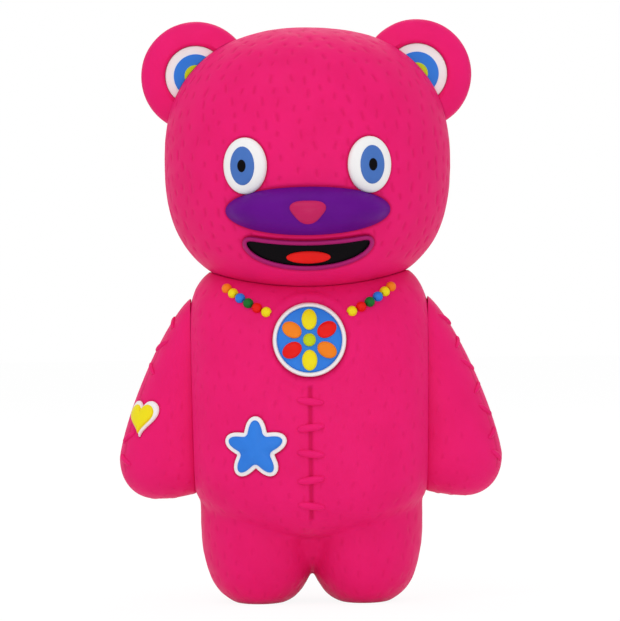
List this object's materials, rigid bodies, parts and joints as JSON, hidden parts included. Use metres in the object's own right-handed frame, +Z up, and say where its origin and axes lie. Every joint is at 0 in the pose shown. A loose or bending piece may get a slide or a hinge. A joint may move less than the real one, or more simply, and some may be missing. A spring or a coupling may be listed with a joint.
{
  "type": "vinyl bear figure",
  "caption": "Standing hollow vinyl bear figure with swivel head and arms, inlaid ears and eyes, moulded muzzle, bead necklace with a flower pendant, and star and heart patches.",
  "frame": {"origin": "on the floor, under the middle of the figure's box", "axes": "+Z up, -Y the way the figure faces, +X towards its own left"},
  "size_m": [0.1312, 0.0926, 0.1993],
  "materials": {
    "pink_vinyl": "soft satin vinyl",
    "white_vinyl": "soft satin vinyl",
    "blue_vinyl": "soft satin vinyl",
    "lime_vinyl": "soft satin vinyl",
    "yellow_vinyl": "soft satin vinyl",
    "orange_vinyl": "soft satin vinyl",
    "red_vinyl": "soft satin vinyl",
    "green_vinyl": "soft satin vinyl",
    "purple_vinyl": "soft satin vinyl",
    "rose_vinyl": "soft satin vinyl",
    "magenta_vinyl": "soft satin vinyl",
    "black_vinyl": "soft satin vinyl"
  },
  "bodies": {
    "trunk": {"bead_01": "orange_vinyl", "bead_02": "yellow_vinyl", "bead_03": "blue_vinyl", "bead_04": "green_vinyl", "bead_05": "red_vinyl", "bead_06": "yellow_vinyl", "bead_07": "orange_vinyl", "bead_08": "yellow_vinyl", "bead_09": "blue_vinyl", "bead_10": "green_vinyl", "bead_11": "red_vinyl", "bead_12": "yellow_vinyl", "belly_star": "blue_vinyl", "belly_star_backing": "white_vinyl", "body_shell": "pink_vinyl", "pendant_disc": "blue_vinyl", "pendant_flower_eye": "lime_vinyl", "pendant_petal_1": "yellow_vinyl", "pendant_petal_2": "orange_vinyl", "pendant_petal_3": "red_vinyl", "pendant_petal_4": "yellow_vinyl", "pendant_petal_5": "orange_vinyl", "pendant_petal_6": "red_vinyl", "pendant_rim": "white_vinyl"},
    "head": {"head_shell": "pink_vinyl", "left_ear": "pink_vinyl", "left_ear_button": "lime_vinyl", "left_ear_disc": "white_vinyl", "left_ear_ring": "blue_vinyl", "left_eye_white": "white_vinyl", "left_iris": "blue_vinyl", "left_pupil": "black_vinyl", "lip": "magenta_vinyl", "mouth": "black_vinyl", "muzzle": "purple_vinyl", "nose": "rose_vinyl", "right_ear": "pink_vinyl", "right_ear_button": "lime_vinyl", "right_ear_disc": "white_vinyl", "right_ear_ring": "blue_vinyl", "right_eye_white": "white_vinyl", "right_iris": "blue_vinyl", "right_pupil": "black_vinyl", "tongue": "red_vinyl"},
    "left_arm": {"left_arm": "pink_vinyl"},
    "right_arm": {"arm_heart": "yellow_vinyl", "arm_heart_backing": "white_vinyl", "right_arm": "pink_vinyl"}
  },
  "joints": [
    {"name": "neck_turn", "type": "hinge", "parent": "trunk", "child": "head", "pos_m": [0, 0.00333, 0.1057], "axis": [0, 0, 1], "continuous": true},
    {"name": "left_shoulder_turn", "type": "hinge", "parent": "trunk", "child": "left_arm", "pos_m": [0.04041, 0.00333, 0.09], "axis": [-0.9998, 0, 0.0175], "range_deg": [-110, 110]},
    {"name": "right_shoulder_turn", "type": "hinge", "parent": "trunk", "child": "right_arm", "pos_m": [-0.04041, 0.00333, 0.09], "axis": [-0.9998, 0, -0.0175], "range_deg": [-110, 110]}
  ]
}
